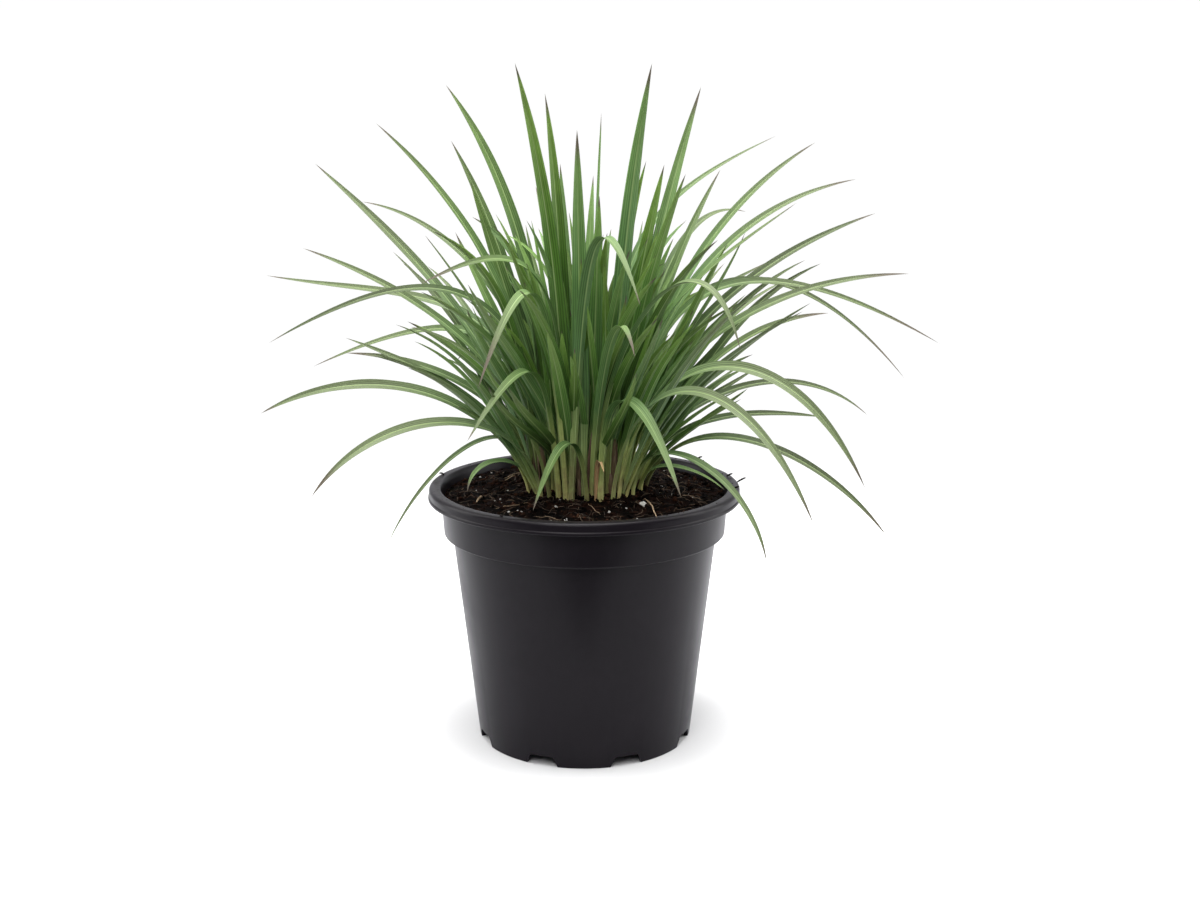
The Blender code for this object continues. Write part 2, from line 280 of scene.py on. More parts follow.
class Shape:
    """Points and faces that grow into one mesh, with named values at the points."""

    def __init__(self, *names):
        self.points = []
        self.faces = []
        self.flat = []
        self.values = {name: [] for name in names}

    def add(self, points, faces, flat=(), **values):
        """values holds one number for all these points, or a list with one each."""
        first = len(self.points)
        self.points.extend(points)
        self.faces.extend(tuple(first + i for i in face) for face in faces)
        self.flat.extend(flat)
        for name, value in values.items():
            self.values[name].extend(value if isinstance(value, list) else [value] * len(points))


def polar(azimuth, radius, height):
    """The point at that azimuth, radius from the pot's axis and height."""
    turn = math.radians(azimuth)
    return Vector((radius * math.cos(turn), radius * math.sin(turn), height))


def smooth_step(value):
    value = min(1.0, max(0.0, value))
    return value * value * (3 - 2 * value)


def make_piece(name, shape, finish, slot, *stood_for, sharp=50):
    """A piece of the plant or the pot, which rides on the one body."""
    mesh = bpy.data.meshes.new(name)
    mesh.from_pydata([point * MM for point in shape.points], [], shape.faces)
    if shape.flat:
        layer = mesh.uv_layers.new(name=UNROLLED)
        layer.uv.foreach_set("vector", [number for place in shape.flat for number in place])
    for label, numbers in shape.values.items():
        mesh.attributes.new(label, "FLOAT", "POINT").data.foreach_set("value", numbers)
    mesh.shade_smooth()
    mesh.set_sharp_from_angle(angle=math.radians(sharp))
    mesh.materials.append(finish)
    made = bpy.data.objects.new(name, mesh)
    bpy.context.scene.collection.objects.link(made)
    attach(made, "root")
    if stood_for:
        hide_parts(*stood_for)
    return made


# Finishes

# Where a leaf starts to turn greyer and darker with painted shade, out from the pot's axis, where it has
# turned, and by how much
OUTER_SHADE_FROM = 45.0
OUTER_SHADE_BY = 130.0
OUTER_SHADE_SHARE = 0.88

# How much longer than wide the drag marks on the pot are
DRAG_STRETCH = 6.0


class Nodes:
    """Short names for what the finishes do with a node tree."""

    def __init__(self, tree):
        self.tree = tree

    def new(self, kind, **settings):
        made = self.tree.nodes.new(kind)
        for name, value in settings.items():
            setattr(made, name, value)
        return made

    def feed(self, socket, value):
        """A socket takes a plain value or another node's socket."""
        if isinstance(value, bpy.types.NodeSocket):
            self.tree.links.new(value, socket)
        elif isinstance(value, tuple) and len(value) == 3 and socket.type == "RGBA":
            socket.default_value = (*value, 1.0)
        else:
            socket.default_value = value

    def math(self, operation, first, second=0.0, clamp=False):
        made = self.new("ShaderNodeMath", operation=operation, use_clamp=clamp)
        self.feed(made.inputs[0], first)
        self.feed(made.inputs[1], second)
        return made.outputs[0]

    def spread(self, value, low, high, to_low=0.0, to_high=1.0):
        """value carried smoothly from low..high to to_low..to_high."""
        made = self.new("ShaderNodeMapRange", interpolation_type="SMOOTHSTEP")
        for socket, number in zip(made.inputs, (value, low, high, to_low, to_high)):
            self.feed(socket, number)
        return made.outputs[0]

    def mix(self, share, first, second, blend="MIX"):
        made = self.new("ShaderNodeMix", data_type="RGBA", blend_type=blend)
        self.feed(made.inputs["Factor"], share)
        self.feed(made.inputs[6], first)
        self.feed(made.inputs[7], second)
        return made.outputs[2]

    def ramp(self, value, *stops):
        made = self.new("ShaderNodeValToRGB")
        elements = made.color_ramp.elements
        while len(elements) < len(stops):
            elements.new(1.0)
        for element, (position, color) in zip(elements, stops):
            element.position = position
            element.color = (*color, 1.0)
        self.feed(made.inputs[0], value)
        return made.outputs[0]

    def value_of(self, name):
        return self.new("ShaderNodeAttribute", attribute_name=name).outputs["Fac"]

    def place(self):
        return self.new("ShaderNodeTexCoord").outputs["Object"]

    def split(self, where):
        """The X, Y and Z of a vector."""
        made = self.new("ShaderNodeSeparateXYZ")
        self.feed(made.inputs[0], where)
        return made.outputs

    def length(self, where):
        made = self.new("ShaderNodeVectorMath", operation="LENGTH")
        self.feed(made.inputs[0], where)
        return made.outputs["Value"]

    def vector(self, x, y, z):
        made = self.new("ShaderNodeCombineXYZ")
        for socket, number in zip(made.inputs, (x, y, z)):
            self.feed(socket, number)
        return made.outputs[0]

    def noise(self, where, scale, detail=3.0, roughness=0.55):
        made = self.new("ShaderNodeTexNoise")
        self.feed(made.inputs["Vector"], where)
        self.feed(made.inputs["Scale"], scale)
        self.feed(made.inputs["Detail"], detail)
        self.feed(made.inputs["Roughness"], roughness)
        return made.outputs["Fac"]

    def group(self, tree, **values):
        """A shared effect with its own values; an underscore in a name stands for a space."""
        made = self.new("ShaderNodeGroup", node_tree=tree)
        for name, value in values.items():
            self.feed(made.inputs[name.replace("_", " ")], value)
        return made.outputs

    def bump(self, height, strength, distance):
        made = self.new("ShaderNodeBump")
        self.feed(made.inputs["Strength"], strength)
        self.feed(made.inputs["Distance"], distance)
        self.feed(made.inputs["Height"], height)
        return made.outputs[0]


def new_group(name, inputs, outputs):
    """An empty shader node group: its tree's nodes, its input sockets and its output node."""
    tree = bpy.data.node_groups.new(name, "ShaderNodeTree")
    for label, kind, default in inputs:
        socket = tree.interface.new_socket(name=label, in_out="INPUT", socket_type=kind)
        if default is not None:
            socket.default_value = default
    for label, kind in outputs:
        tree.interface.new_socket(name=label, in_out="OUTPUT", socket_type=kind)
    nodes = Nodes(tree)
    return nodes, nodes.new("NodeGroupInput").outputs, nodes.new("NodeGroupOutput").inputs


def parallel_veins_group():
    """Veins that run the length of a blade: their shade, their height and a mask for the midrib."""
    nodes, given, made = new_group(
        "parallel_veins",
        (
            ("Beside", "NodeSocketFloat", 0.0),
            ("Along", "NodeSocketFloat", 0.0),
            ("Tint", "NodeSocketFloat", 0.0),
            ("Veins", "NodeSocketFloat", 6.0),
            ("Midrib Width", "NodeSocketFloat", 0.08),
        ),
        (
            ("Shade", "NodeSocketFloat"),
            ("Height", "NodeSocketFloat"),
            ("Midrib", "NodeSocketFloat"),
        ),
    )
    seed = nodes.math("MULTIPLY", given["Tint"], 40.0)
    streak_place = nodes.vector(
        nodes.math("MULTIPLY", given["Beside"], 3.2),
        nodes.math("MULTIPLY", given["Along"], 2.5),
        seed,
    )
    streak = nodes.noise(streak_place, 2.0, 4.0, 0.6)
    wander = nodes.math("MULTIPLY", nodes.math("SUBTRACT", streak, 0.5), 2.5)
    phase = nodes.math("MULTIPLY", nodes.math("MULTIPLY", given["Beside"], given["Veins"]), math.pi)
    wave = nodes.math("SINE", nodes.math("ADD", phase, wander))
    wave = nodes.math("ADD", nodes.math("MULTIPLY", wave, 0.5), 0.5)
    distance = nodes.math("ABSOLUTE", given["Beside"])
    edge = nodes.math("MULTIPLY", given["Midrib Width"], 2.0)
    midrib = nodes.spread(distance, edge, nodes.math("MULTIPLY", given["Midrib Width"], 0.4))
    end = nodes.spread(given["Along"], 0.97, 0.75)
    midrib = nodes.math("MULTIPLY", midrib, end)
    shade = nodes.math("ADD", nodes.math("MULTIPLY", streak, 0.6), nodes.math("MULTIPLY", wave, 0.4))
    nodes.feed(made["Shade"], shade)
    height = nodes.math("ADD", wave, nodes.math("MULTIPLY", midrib, 2.0))
    nodes.feed(made["Height"], height)
    nodes.feed(made["Midrib"], midrib)
    return nodes.tree


def mottle_group():
    """Soft patches, as a mask from 0 to 1."""
    nodes, given, made = new_group(
        "mottle",
        (
            ("Place", "NodeSocketVector", None),
            ("Scale", "NodeSocketFloat", 100.0),
            ("Low", "NodeSocketFloat", 0.4),
            ("High", "NodeSocketFloat", 0.65),
        ),
        (("Mask", "NodeSocketFloat"),),
    )
    patches = nodes.noise(given["Place"], given["Scale"], 4.0, 0.6)
    nodes.feed(made["Mask"], nodes.spread(patches, given["Low"], given["High"]))
    return nodes.tree


def settled_dust_group():
    """Dust that has settled on surfaces which face up, as a mask from 0 to 1."""
    nodes, given, made = new_group(
        "settled_dust",
        (
            ("Place", "NodeSocketVector", None),
            ("Scale", "NodeSocketFloat", 300.0),
            ("Amount", "NodeSocketFloat", 0.5),
        ),
        (("Mask", "NodeSocketFloat"),),
    )
    normal = nodes.new("ShaderNodeNewGeometry").outputs["Normal"]
    facing = nodes.spread(nodes.split(normal)["Z"], 0.1, 0.95)
    grains = nodes.spread(nodes.noise(given["Place"], given["Scale"], 5.0, 0.7), 0.42, 0.7)
    mask = nodes.math("MULTIPLY", nodes.math("MULTIPLY", facing, grains), given["Amount"], clamp=True)
    nodes.feed(made["Mask"], mask)
    return nodes.tree


VEINS = parallel_veins_group()
MOTTLE = mottle_group()
DUST = settled_dust_group()


def new_finish(name, specular=0.5):
    made = bpy.data.materials.new(name)
    made.use_nodes = True
    shader = made.node_tree.nodes["Principled BSDF"]
    shader.inputs["Specular IOR Level"].default_value = specular
    return made, Nodes(made.node_tree), shader.inputs


def blade_finish(name, colors, streak=0.33, pale_upper=0.35, gloss=0.48):
    """A leaf blade: sheath, body and tip colours, parallel veins, a paler upper side and a midrib.

    It turns greyer and darker away from the pot's axis, a duller tone with painted shade, and some of the
    shoots have painted shade at the foot.
    """
    made, nodes, shader = new_finish(name, specular=0.22)
    along = nodes.value_of("along")
    beside = nodes.value_of("beside")
    upper = nodes.value_of("upper")
    tint = nodes.value_of("tint")
    dry = nodes.value_of("dry")
    veins = nodes.group(VEINS, Beside=beside, Along=along, Tint=tint, Veins=7.0, Midrib_Width=0.07)
    # The colours along the blade are partly its own and partly painted light: the dark low part is painted
    # shade in the clump, the bright high end painted light towards the tips.
    body = nodes.ramp(
        along,
        (0.0, colors["sheath"]),
        (0.07, colors["neck"]),
        (0.3, colors["low"]),
        (0.6, colors["middle"]),
        (1.0, colors["high"]),
    )
    body = nodes.mix(nodes.spread(tint, 0.35, 1.0), body, nodes.mix(0.65, body, colors["cool"]))
    upper_share = nodes.math("MULTIPLY", upper, pale_upper)
    upper_share = nodes.math("MULTIPLY", upper_share, nodes.spread(along, 0.05, 0.35))
    body = nodes.mix(upper_share, body, colors["upper"])
    patches = nodes.group(MOTTLE, Place=nodes.place(), Scale=55.0, Low=0.35, High=0.7)["Mask"]
    body = nodes.mix(nodes.math("MULTIPLY", patches, 0.3), body, colors["patch"])
    place = nodes.split(nodes.place())
    outward = nodes.length(nodes.vector(place["X"], place["Y"], 0.0))
    # painted shade: blades grow greyer and darker away from the axis, where the arching leaves face the
    # top light
    outer_shade = nodes.spread(outward, OUTER_SHADE_FROM * MM, OUTER_SHADE_BY * MM, 0.0, OUTER_SHADE_SHARE)
    body = nodes.mix(outer_shade, body, colors["outer_grey_shade"])
    flush_place = nodes.group(MOTTLE, Place=nodes.place(), Scale=170.0, Low=0.35, High=0.6)["Mask"]
    flush = nodes.math("MULTIPLY", nodes.spread(along, 0.15, 0.02), flush_place)
    body = nodes.mix(nodes.math("MULTIPLY", flush, colors["flush_share"]), body, colors["flush"])
    # painted shade: the foot of some shoots is darkened, as if shaded inside the crown
    painted_foot_shade = nodes.math("MULTIPLY", nodes.spread(along, 0.24, 0.05), nodes.spread(tint, 0.45, 0.1))
    body = nodes.mix(nodes.math("MULTIPLY", painted_foot_shade, 0.85), body, colors["painted_foot_shade"])
    shade = nodes.spread(veins["Shade"], 0.2, 0.8, 1.0 - streak, 1.0 + streak)
    shade = nodes.math("MULTIPLY", shade, nodes.spread(tint, 0.1, 0.7, 0.66, 1.16))
    body = nodes.mix(1.0, body, nodes.vector(shade, shade, shade), "MULTIPLY")
    body = nodes.mix(nodes.math("MULTIPLY", veins["Midrib"], 0.6), body, colors["midrib"])
    start = nodes.math("SUBTRACT", 1.0, dry)
    tip = nodes.new("ShaderNodeMapRange", interpolation_type="SMOOTHSTEP")
    nodes.feed(tip.inputs[0], along)
    nodes.feed(tip.inputs[1], start)
    nodes.feed(tip.inputs[2], nodes.math("ADD", start, nodes.math("MULTIPLY", dry, 0.7)))
    body = nodes.mix(tip.outputs[0], body, colors["tip"])
    nodes.feed(shader["Base Color"], body)
    roughness = nodes.spread(veins["Shade"], 0.2, 0.8, gloss - 0.07, gloss + 0.12)
    nodes.feed(shader["Roughness"], roughness)
    nodes.feed(shader["Normal"], nodes.bump(veins["Height"], 0.25, 0.00018))
    return made


GREEN = {
    "sheath": (0.560, 0.500, 0.190),
    "neck": (0.420, 0.480, 0.150),
    # low is darkened as painted shade and high brightened as painted light, on top of the blade's own
    # greens
    "low": (0.062, 0.128, 0.027),
    "middle": (0.080, 0.182, 0.025),
    "high": (0.245, 0.410, 0.080),
    "cool": (0.070, 0.135, 0.062),
    "upper": (0.150, 0.218, 0.104),
    "patch": (0.050, 0.105, 0.022),
    # a greyer colour mixed in as painted shade away from the pot's axis
    "outer_grey_shade": (0.118, 0.143, 0.074),
    # painted shade at the foot of some shoots
    "painted_foot_shade": (0.030, 0.040, 0.014),
    "flush": (0.150, 0.060, 0.055),
    "flush_share": 0.35,
    "midrib": (0.330, 0.440, 0.180),
    "tip": (0.110, 0.092, 0.066),
}
STRAW = {
    "sheath": (0.420, 0.250, 0.100),
    "neck": (0.500, 0.300, 0.130),
    "low": (0.420, 0.230, 0.090),
    "middle": (0.380, 0.260, 0.100),
    "high": (0.300, 0.260, 0.100),
    "cool": (0.300, 0.200, 0.110),
    "upper": (0.480, 0.340, 0.170),
    "patch": (0.220, 0.120, 0.060),
    "outer_grey_shade": (0.380, 0.260, 0.110),
    # a greyer colour mixed in as painted shade away from the pot's axis
    "painted_foot_shade": (0.120, 0.070, 0.030),
    # painted shade at the foot of some shoots
    "flush": (0.200, 0.080, 0.050),
    "flush_share": 0.4,
    "midrib": (0.520, 0.380, 0.220),
    "tip": (0.140, 0.090, 0.060),
}
HUSK = {
    "sheath": (0.070, 0.032, 0.026),
    "neck": (0.110, 0.055, 0.036),
    "low": (0.120, 0.075, 0.040),
    "middle": (0.150, 0.110, 0.055),
    "high": (0.200, 0.150, 0.085),
    "cool": (0.060, 0.026, 0.030),
    "upper": (0.150, 0.095, 0.065),
    "patch": (0.090, 0.045, 0.035),
    # a greyer colour mixed in as painted shade away from the pot's axis
    "outer_grey_shade": (0.150, 0.095, 0.060),
    # painted shade at the foot of some shoots
    "painted_foot_shade": (0.035, 0.018, 0.014),
    "flush": (0.120, 0.040, 0.040),
    "flush_share": 0.7,
    "midrib": (0.260, 0.200, 0.120),
    "tip": (0.150, 0.100, 0.070),
}


def black_plastic_finish():
    """Satin moulded plastic, nearly black, with a fine grain, faint drag marks and some dust."""
    made, nodes, shader = new_finish("black_plastic", specular=0.15)
    place = nodes.place()
    scuff = nodes.group(MOTTLE, Place=place, Scale=28.0, Low=0.45, High=0.75)["Mask"]
    parts = nodes.split(place)
    around = [nodes.math("MULTIPLY", parts[axis], DRAG_STRETCH) for axis in "XY"]
    stretched = nodes.vector(*around, parts["Z"])
    drag = nodes.group(MOTTLE, Place=stretched, Scale=70.0, Low=0.5, High=0.8)["Mask"]
    dust = nodes.group(DUST, Place=place, Scale=420.0, Amount=0.25)["Mask"]
    body = nodes.mix(scuff, (0.0078, 0.0061, 0.0084), (0.0098, 0.0078, 0.0105))
    body = nodes.mix(nodes.math("MULTIPLY", drag, 0.35), body, (0.010, 0.0092, 0.0108))
    body = nodes.mix(dust, body, (0.040, 0.035, 0.032))
    nodes.feed(shader["Base Color"], body)
    roughness = nodes.math("ADD", 0.29, nodes.math("MULTIPLY", scuff, 0.08))
    roughness = nodes.math("ADD", roughness, nodes.math("MULTIPLY", dust, 0.5))
    nodes.feed(shader["Roughness"], roughness)
    grain = nodes.noise(place, 1400.0, 2.0, 0.5)
    nodes.feed(shader["Normal"], nodes.bump(grain, 0.10, 0.0002))
    return made


PEAT = ((0.0009, 0.0006, 0.0005), (0.012, 0.0042, 0.0026), (0.030, 0.021, 0.015))
CRUMBS = ((0.0013, 0.0008, 0.0006), (0.034, 0.013, 0.0072), (0.085, 0.058, 0.040))
BARK = ((0.007, 0.0035, 0.0025), (0.046, 0.019, 0.010), (0.110, 0.066, 0.040))


def soil_finish(name, colors, bumpiness):
    """Moist peat: near-black with reddish and greyish crumbs."""
    dark, red, light = colors
    made, nodes, shader = new_finish(name, specular=0.03)
    place = nodes.place()
    tint = nodes.value_of("tint")
    reds = nodes.group(MOTTLE, Place=place, Scale=120.0, Low=0.42, High=0.62)["Mask"]
    fines = nodes.group(MOTTLE, Place=place, Scale=900.0, Low=0.5, High=0.72)["Mask"]
    body = nodes.mix(nodes.math("MULTIPLY", reds, nodes.spread(tint, 0.2, 1.0, 0.2, 1.0)), dark, red)
    body = nodes.mix(nodes.math("MULTIPLY", fines, nodes.spread(tint, 0.5, 1.0, 0.06, 0.8)), body, light)
    nodes.feed(shader["Base Color"], body)
    nodes.feed(shader["Roughness"], nodes.spread(fines, 0.0, 1.0, 0.75, 1.0))
    rough = nodes.noise(place, 1300.0, 6.0, 0.75)
    nodes.feed(shader["Normal"], nodes.bump(rough, bumpiness, 0.0006))
    return made


def perlite_finish():
    """Dull white grains with pits and a few brown stains."""
    made, nodes, shader = new_finish("perlite_white", specular=0.3)
    place = nodes.place()
    pits = nodes.group(MOTTLE, Place=place, Scale=1500.0, Low=0.35, High=0.6)["Mask"]
    stain = nodes.group(MOTTLE, Place=place, Scale=350.0, Low=0.55, High=0.75)["Mask"]
    body = nodes.mix(pits, (0.36, 0.34, 0.31), (0.66, 0.65, 0.62))
    body = nodes.mix(nodes.math("MULTIPLY", stain, 0.5), body, (0.24, 0.18, 0.13))
    nodes.feed(shader["Base Color"], body)
    nodes.feed(shader["Roughness"], nodes.spread(pits, 0.0, 1.0, 0.95, 0.8))
    nodes.feed(shader["Normal"], nodes.bump(pits, 0.6, 0.0003))
    return made


def fibre_finish(name, dark, light):
    """Thin stems and roots, each between a dark and a light colour, and worn in places."""
    made, nodes, shader = new_finish(name, specular=0.3)
    tint = nodes.value_of("tint")
    worn = nodes.group(MOTTLE, Place=nodes.place(), Scale=400.0, Low=0.35, High=0.7)["Mask"]
    body = nodes.mix(tint, dark, light)
    body = nodes.mix(nodes.math("MULTIPLY", worn, 0.45), body, dark)
    nodes.feed(shader["Base Color"], body)
    nodes.feed(shader["Roughness"], nodes.spread(worn, 0.0, 1.0, 0.65, 0.9))
    nodes.feed(shader["Normal"], nodes.bump(worn, 0.4, 0.0002))
    return made


def floor_finish():
    """A pale floor with a little painted shadow at the pot's foot.

    Reflections see it dimmer, and nearly black in front of the pot. Far away it is evenly white.
    """
    made, nodes, shader = new_finish("pale_floor", specular=0.2)
    cloud = nodes.group(MOTTLE, Place=nodes.place(), Scale=1.5, Low=0.3, High=0.7)["Mask"]
    pale = nodes.mix(cloud, (0.90, 0.90, 0.90), (0.92, 0.92, 0.92))
    distance = nodes.length(nodes.place())
    # painted shadow: the floor is darker close round the pot's foot
    painted_foot_shadow = nodes.spread(distance, 0.16, 0.07)
    pale = nodes.mix(painted_foot_shadow, pale, (0.66, 0.66, 0.665))
    # painted shade for reflections only: the pot reflects the floor dimmer, nearly black in front of it,
    # which darkens the pot's front
    place = nodes.split(nodes.place())
    aside = nodes.math("MULTIPLY", nodes.math("ABSOLUTE", place["X"]), 0.55)
    behind_front = nodes.spread(nodes.math("ADD", place["Y"], aside), -0.24, -0.16)
    dimmed = nodes.mix(behind_front, (0.06, 0.06, 0.062), (0.58, 0.58, 0.60))
    seen = nodes.new("ShaderNodeLightPath").outputs["Is Camera Ray"]
    far = nodes.math("MULTIPLY", seen, nodes.spread(distance, 0.35, 0.9))
    nodes.feed(shader["Base Color"], nodes.mix(far, nodes.mix(seen, dimmed, pale), (0.0, 0.0, 0.0)))
    nodes.feed(shader["Emission Color"], nodes.mix(far, (0.0, 0.0, 0.0), (1.0, 1.0, 1.0)))
    shader["Emission Strength"].default_value = 1.0
    shader["Roughness"].default_value = 0.9
    return made


# Leaves


def leaf_spine(root_radius, root_azimuth, tip_azimuth, reach, height, root_lean, tip_lean, fullness):
    """The four control points of a leaf's spine, and the level direction across its plane."""
    root = polar(root_azimuth, root_radius, CROWN_SOIL + GAP)
    tip = polar(tip_azimuth, reach, CROWN_SOIL + height)
    chord = tip - root
    outward = Vector((chord.x, chord.y, 0)).normalized()
    up = Vector((0, 0, 1))
    start, end = math.radians(root_lean), math.radians(tip_lean)
    handle = fullness * chord.length / (3 * math.cos((end - start) / 4) ** 2)
    first = root + (outward * math.sin(start) + up * math.cos(start)) * handle
    second = tip - (outward * math.sin(end) + up * math.cos(end)) * handle
    return (root, first, second, tip), outward.cross(up)


def along_spine(points, share):
    """The point and the direction of a cubic Bezier spine at a share of its length."""
    root, first, second, tip = points
    rest = 1 - share
    place = root * rest**3 + first * 3 * rest**2 * share + second * 3 * rest * share**2 + tip * share**3
    heading = (first - root) * rest**2 + (second - first) * 2 * rest * share + (tip - second) * share**2
    return place, heading.normalized()


def blade_width(width, share, length):
    """Narrow at the sheath, full where the blade opens out, and drawn out to a point."""
    opening = max(0.3, min(0.6, WIDENING_HEIGHT / length))
    swell = SHEATH_WIDTH_SHARE + (1 - SHEATH_WIDTH_SHARE) * smooth_step(share / opening)
    return width * swell * (1 - share**TIP_TAPER) ** TIP_FADE


def add_blade(shape, row, stations, columns, seed, tint, dry, cell=(0.0, 0.0, 1.0, 1.0)):
    """A folded blade with thin edges, a keel underneath and a slight ripple.

    cell is where it lies on the flat layout: left, foot, width and height.
    """
    *spine, width, twist = row
    points, across = leaf_spine(*spine)
    length = (points[-1] - points[0]).length
    beside = [2 * k / (columns - 1) - 1 for k in range(columns)]
    round_blade = [(u, 1) for u in beside] + [(u, -1) for u in reversed(beside)]
    count = len(round_blade)
    made = []
    values = {"along": [], "beside": [], "upper": []}
    for station in range(stations):
        share = (station / stations) ** 0.92
        place, heading = along_spine(points, share)
        above = across.cross(heading)
        if station == 0:
            above = Vector((above.x, above.y, 0)).normalized()
            place = place - Vector((0, 0, ROOT_DEPTH))
        turn = math.radians(twist * (ROOT_TWIST_SHARE + (1 - ROOT_TWIST_SHARE) * share))
        side = across * math.cos(turn) + above * math.sin(turn)
        face = above * math.cos(turn) - across * math.sin(turn)
        half = blade_width(width, share, length) / 2
        half *= 1 + 0.05 * noise.noise((share * 9, seed, 4.0))
        fold = 2 * half * FOLD_DEPTH_SHARE
        sheath = max(0.0, 1 - share / SHEATH_SHARE)
        thick = BLADE_THICKNESS + (SHEATH_THICKNESS - BLADE_THICKNESS) * sheath
        for u, sign in round_blade:
            lift = -fold * (1 - abs(u) ** FOLD_SOFTNESS)
            lift += sign * thick / 2 * (0.25 + 0.75 * (1 - abs(u) ** 3))
            if sign < 0:
                lift -= KEEL * max(0.0, 1 - abs(u) / KEEL_WIDTH) * (1 - share)
            ripple = noise.noise((share * 7, seed + 11.0 * (u > 0), 0.0)) * abs(u) ** 2
            lift += RIPPLE * ripple * min(1.0, share * 5) * half / 3
            made.append(place + side * half * u + face * lift)
            values["along"].append(share)
            values["beside"].append(u)
            values["upper"].append((sign + 1) / 2)
    root_middle, tip = count * stations, count * stations + 1
    made += [points[0] - Vector((0, 0, ROOT_DEPTH + 0.3)), points[-1]]
    for name, pair in (("along", [0.0, 1.0]), ("beside", [0.0, 0.0]), ("upper", [0.5, 0.5])):
        values[name] += pair
    left, foot, wide, tall = cell

    def flat(column, level):
        return (left + wide * (0.01 + 0.98 * column / count), foot + tall * (0.01 + 0.98 * level))

    faces = []
    layout = []
    for i in range(count):
        j = (i + 1) % count
        faces.append((root_middle, j, i))
        layout += [flat(i + 0.5, 0.0), flat(i + 1, 0.02), flat(i, 0.02)]
        for station in range(stations - 1):
            low, high = station * count, (station + 1) * count
            faces.append((low + i, low + j, high + j, high + i))
            from_level = 0.02 + 0.97 * station / stations
            to_level = 0.02 + 0.97 * (station + 1) / stations
            layout += [flat(i, from_level), flat(i + 1, from_level)]
            layout += [flat(i + 1, to_level), flat(i, to_level)]
        last = (stations - 1) * count
        level = 0.02 + 0.97 * (stations - 1) / stations
        faces.append((last + i, last + j, tip))
        layout += [flat(i, level), flat(i + 1, level), flat(i + 0.5, 1.0)]
    shape.add(made, faces, layout, tint=tint, dry=dry, **values)


BLADE_VALUES = ("along", "beside", "upper", "tint", "dry")


def layout_cells(count):
    """A square grid with a cell of the flat layout for each of count blades."""
    across = math.ceil(math.sqrt(count))
    size = 1 / across
    return [((i % across) * size, (i // across) * size, size, size) for i in range(count)]


def named_leaves(finishes):
    """The leaves that are parts of their own."""
    dice = random.Random(41)
    for group, rows in LEAVES.items():
        for number, (ring, *rest) in enumerate(rows, start=1):
            name = group if len(rows) == 1 else f"{group}_{number:02d}"
            straw = group == "dry_leaf"
            shape = Shape(*BLADE_VALUES)
            tint = dice.random()
            dry = dice.choice(DRY_TIPS)
            add_blade(shape, (RINGS[ring - 1], *rest), 46, 9, dice.uniform(0, 99), tint, dry)
            slot = "dry_leaf_straw" if straw else "green_leaf"
            make_piece(f"{name}_blade", shape, finishes[slot], slot, name, sharp=60)


def turn_to_front(azimuth, share):
    """The twist that turns a leaf at that azimuth by a share of the way towards the front."""
    return share * ((azimuth % 180) - 90)


def core_rows(dice):
    """Leaves that stand close together in the middle: a few tall ones, then shorter ones that fan out."""
    rows = list(TALL_YOUNG_LEAVES)
    for i in range(CORE_LEAVES):
        share = (i + 0.5) / CORE_LEAVES
        azimuth = SHOOT_TURN * i + dice.uniform(-20, 20)
        root = 3 + 21 * math.sqrt(share)
        reach = 6 + 66 * share + dice.uniform(-4, 14)
        height = dice.uniform(105, 172) - 22 * share
        tip_lean = 8 + 42 * share * dice.uniform(0.3, 1.3)
        width = dice.uniform(6.8, 9.2)
        toward = azimuth + dice.uniform(-30, 30)
        twist = turn_to_front(toward, dice.uniform(0.3, 1.1)) + dice.uniform(-15, 15)
        rows.append((root, azimuth, toward, reach, height, 2, tip_lean, 1.0, width, twist))
    return rows


def filler_rows(dice):
    """Leaves that fill the space between the core and the arching leaves."""
    rows = []
    for i in range(FILLER_LEAVES):
        azimuth = SHOOT_TURN * i + dice.uniform(-20, 20)
        root = dice.uniform(15, 33)
        reach = dice.uniform(48, 112)
        height = dice.uniform(95, 175) - 0.3 * (reach - 48)
        tip_lean = dice.uniform(22, 70)
        width = dice.uniform(5.4, 7.8)
        toward = azimuth + dice.uniform(-18, 18)
        lean = dice.uniform(0, 10)
        twist = turn_to_front(toward, dice.uniform(0.2, 1.0)) + dice.uniform(-15, 15)
        rows.append((root, azimuth, toward, reach, height, lean, tip_lean, 1.0, width, twist))
    return rows


def flank_rows(dice):
    """Slender, straighter leaves that leave the sides and the back of the crown at a slant."""
    rows = []
    for i in range(FLANK_LEAVES):
        azimuth = FLANK_START + FLANK_SPREAD * (i + dice.uniform(-0.4, 0.4)) / FLANK_LEAVES
        root = dice.uniform(29, 36)
        reach = dice.uniform(92, 165)
        height = dice.uniform(0.55, 1.0) * reach
        lean = dice.uniform(16, 34)
        tip_lean = dice.uniform(50, 76)
        width = dice.uniform(4.2, 5.8)
        toward = azimuth + dice.uniform(-8, 8)
        twist = turn_to_front(azimuth, dice.uniform(0.4, 1.0)) + dice.uniform(-10, 10)
        rows.append((root, azimuth, toward, reach, height, lean, tip_lean, 1.0, width, twist))
    return rows


def short_rows(dice):
    """New leaves that only reach part of the way up."""
    rows = []
    for _ in range(SHORT_LEAVES):
        azimuth = dice.uniform(0, 360)
        root = dice.uniform(10, 30)
        height = dice.uniform(45, 110)
        reach = root + height * dice.uniform(0.05, 0.25)
        width = dice.uniform(3.0, 4.8)
        rows.append((root, azimuth, azimuth, reach, height, 3, 16, 1.0, width, dice.uniform(-60, 60)))
    return rows


